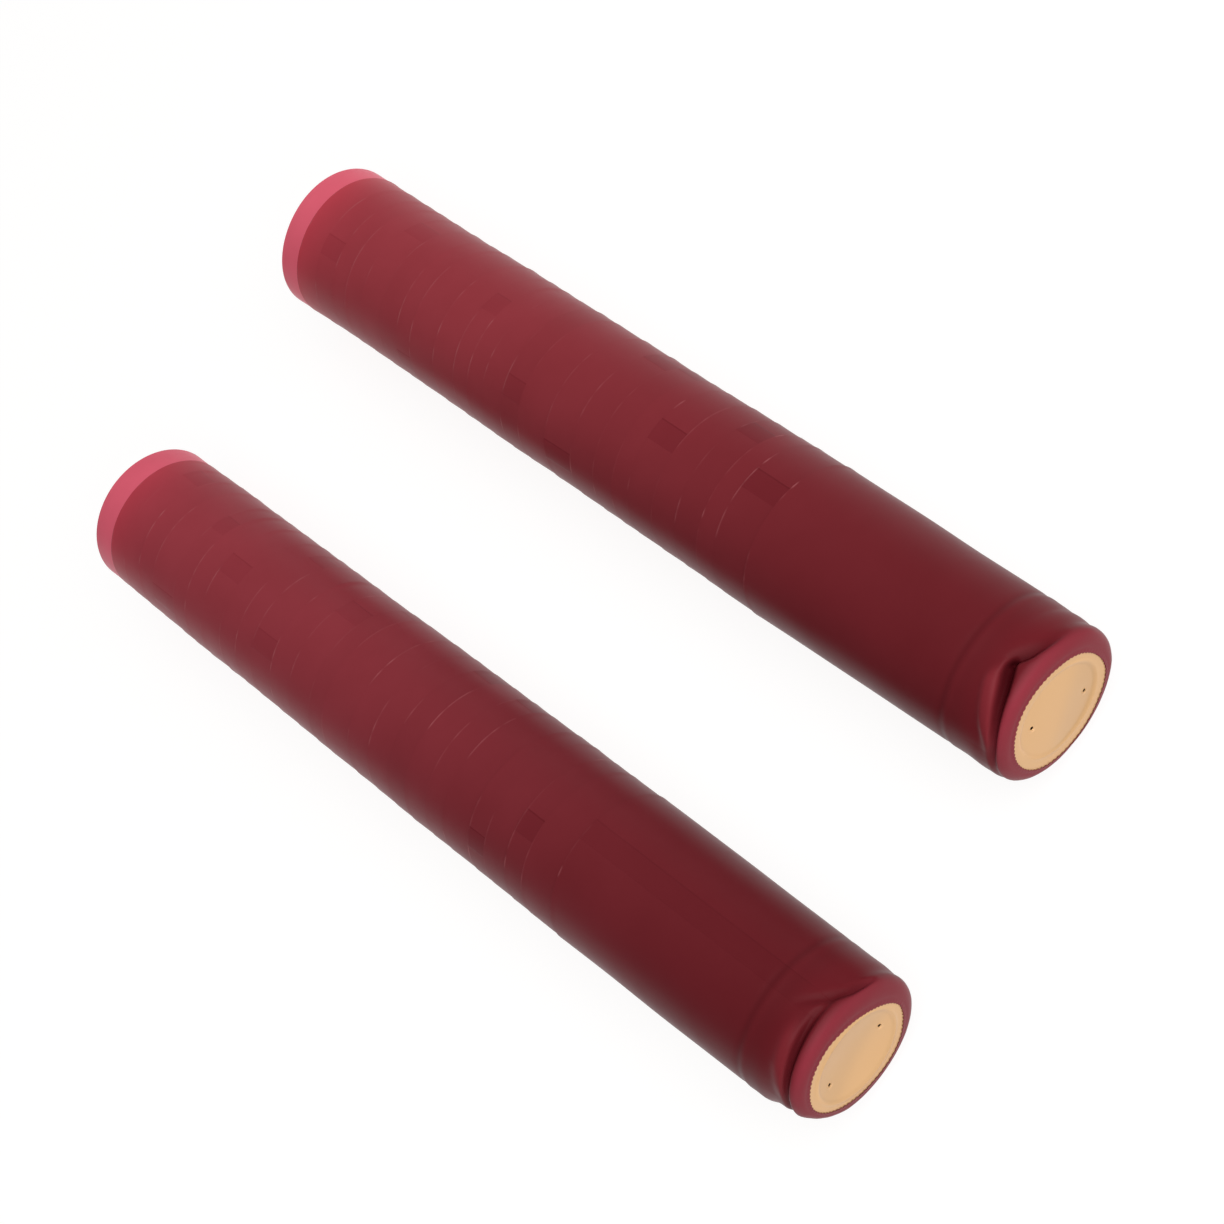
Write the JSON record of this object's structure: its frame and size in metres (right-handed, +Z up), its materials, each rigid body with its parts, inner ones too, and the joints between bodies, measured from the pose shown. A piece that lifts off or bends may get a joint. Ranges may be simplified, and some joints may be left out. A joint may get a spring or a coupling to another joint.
{
  "type": "nested shrink capsule stacks",
  "caption": "Two loose stacks of nested shrink-film bottle capsules with gold top discs, lying side by side; the end capsules pull off.",
  "frame": {"origin": "centre of the bounding box of both stacks, at the surface they lie on", "axes": "+Y along stack A from the crowns to the open mouths, +Z up, +X from stack B to stack A"},
  "size_m": [0.108, 0.2166, 0.0327],
  "materials": {
    "film": "satin burgundy shrink film",
    "mouth_film": "satin burgundy shrink film, one layer thick, so light comes through",
    "gold_disc": "satin gold lacquer"
  },
  "bodies": {
    "stack_a": {"skirt_a03": "film", "skirt_a04": "film", "skirt_a05": "film", "skirt_a06": "film", "skirt_a07": "film", "skirt_a08": "film", "skirt_a09": "film", "skirt_a10": "film", "skirt_a11": "film", "skirt_a12": "film", "skirt_a13": "film", "skirt_a14": "film", "skirt_a15": "film", "skirt_a16": "film", "skirt_a17": "film", "skirt_a18": "film", "skirt_a19": "film", "skirt_a20": "film", "skirt_a21": "film", "skirt_a22": "film", "skirt_a23": "film", "skirt_a24": "film", "top_discs_a_core": "gold_disc"},
    "capsule_a01": {"skirt_a01": "film", "top_disc_a01": "gold_disc"},
    "capsule_a02": {"skirt_a02": "film", "top_disc_a02": "gold_disc"},
    "capsule_a25": {"skirt_a25": "mouth_film", "top_disc_a25": "gold_disc"},
    "stack_b": {"skirt_b03": "film", "skirt_b04": "film", "skirt_b05": "film", "skirt_b06": "film", "skirt_b07": "film", "skirt_b08": "film", "skirt_b09": "film", "skirt_b10": "film", "skirt_b11": "film", "skirt_b12": "film", "skirt_b13": "film", "skirt_b14": "film", "skirt_b15": "film", "skirt_b16": "film", "skirt_b17": "film", "skirt_b18": "film", "skirt_b19": "film", "skirt_b20": "film", "skirt_b21": "film", "skirt_b22": "film", "skirt_b23": "film", "skirt_b24": "film", "skirt_b25": "film", "top_discs_b_core": "gold_disc"},
    "capsule_b01": {"skirt_b01": "film", "top_disc_b01": "gold_disc"},
    "capsule_b02": {"skirt_b02": "film", "top_disc_b02": "gold_disc"},
    "capsule_b26": {"skirt_b26": "mouth_film", "top_disc_b26": "gold_disc"}
  },
  "joints": [
    {"name": "capsule_a02_pull", "type": "slide", "parent": "stack_a", "child": "capsule_a02", "axis": [0, -1, 0], "range_m": [0, 0.062]},
    {"name": "capsule_a01_pull", "type": "slide", "parent": "capsule_a02", "child": "capsule_a01", "axis": [0, -1, 0], "range_m": [0, 0.06]},
    {"name": "capsule_a25_pull", "type": "slide", "parent": "stack_a", "child": "capsule_a25", "axis": [0, 1, 0], "range_m": [0, 0.062]},
    {"name": "stack_b_slide", "type": "slide", "parent": "stack_a", "child": "stack_b", "axis": [-1, 0, 0], "range_m": [-0.03, 0.05]},
    {"name": "capsule_b02_pull", "type": "slide", "parent": "stack_b", "child": "capsule_b02", "axis": [0.0255, -0.9997, 0], "range_m": [0, 0.062]},
    {"name": "capsule_b01_pull", "type": "slide", "parent": "capsule_b02", "child": "capsule_b01", "axis": [0.0255, -0.9997, 0], "range_m": [0, 0.06]},
    {"name": "capsule_b26_pull", "type": "slide", "parent": "stack_b", "child": "capsule_b26", "axis": [-0.0255, 0.9997, 0], "range_m": [0, 0.062]}
  ]
}
